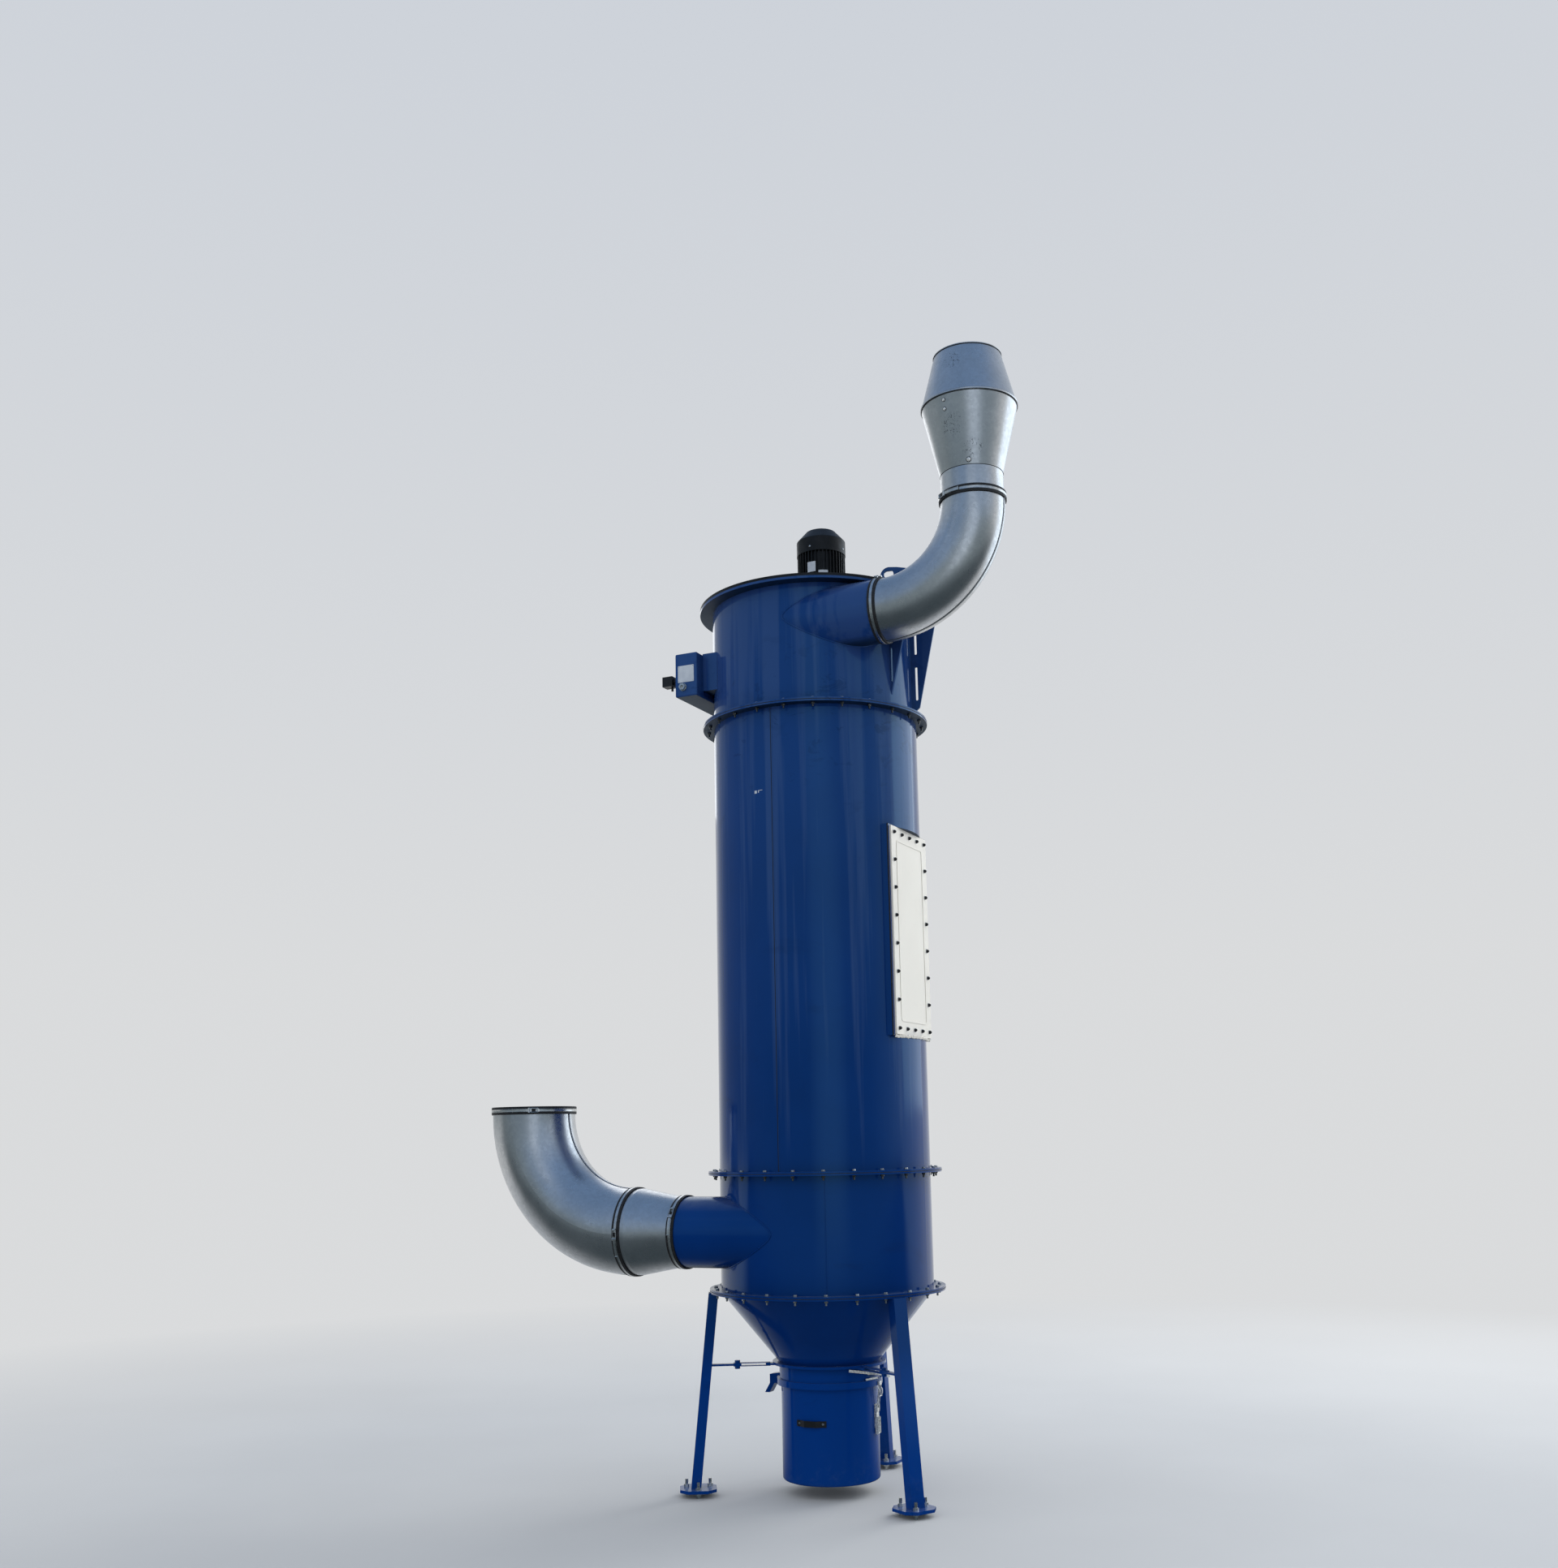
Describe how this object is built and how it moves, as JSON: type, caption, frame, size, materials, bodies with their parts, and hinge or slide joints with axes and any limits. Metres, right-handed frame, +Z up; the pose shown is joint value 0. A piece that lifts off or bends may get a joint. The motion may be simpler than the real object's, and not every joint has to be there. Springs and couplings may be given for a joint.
{
  "type": "cartridge fume filter",
  "caption": "Tall round blue fume filter on sloped legs, with dust bin, low side inlet elbow, vent panel, top motor, side air tank and weather stack.",
  "frame": {"origin": "on the round vessel's axis at floor level, the centre of the circle of foot studs", "axes": "+Z up along the vessel's axis, +X to the side where the clean air leaves, +Y to the back"},
  "size_m": [2.4844, 1.123, 4.575],
  "materials": {
    "blue_paint": "gloss",
    "galvanised": "satin",
    "zinc": "gloss",
    "black_paint": "satin",
    "white_panel": "satin",
    "black_plastic": "matte"
  },
  "bodies": {
    "root": {"air_tank": "blue_paint", "anchor_studs": "zinc", "bin_collar": "blue_paint", "bin_handles": "black_plastic", "bin_hook": "blue_paint", "bin_latch": "zinc", "bin_ring": "blue_paint", "brace_back": "blue_paint", "brace_left": "blue_paint", "brace_right": "blue_paint", "clamp_inlet_elbow": "zinc", "clamp_inlet_mouth": "zinc", "clamp_inlet_spigot": "zinc", "clamp_outlet_spigot": "zinc", "clamp_stack": "zinc", "closing_lever": "zinc", "drain_plug": "zinc", "dust_bin": "blue_paint", "filter_body": "blue_paint", "foot_plate_back": "blue_paint", "foot_plate_left": "blue_paint", "foot_plate_right": "blue_paint", "head_section": "blue_paint", "hopper_cone": "blue_paint", "inlet_elbow": "galvanised", "inlet_reducer": "galvanised", "inlet_section": "blue_paint", "inlet_spigot": "blue_paint", "leg_back": "blue_paint", "leg_left": "blue_paint", "leg_right": "blue_paint", "lifting_plate": "blue_paint", "motor_body": "black_paint", "motor_cowl": "black_paint", "outlet_elbow": "galvanised", "outlet_spigot": "blue_paint", "side_plate": "blue_paint", "stack_diffuser": "galvanised", "stack_nozzle": "galvanised", "tank_fitting": "black_plastic", "top_plate": "black_paint", "valve_covers": "blue_paint", "vent_frame": "blue_paint", "vent_panel": "white_panel"}
  },
  "joints": []
}
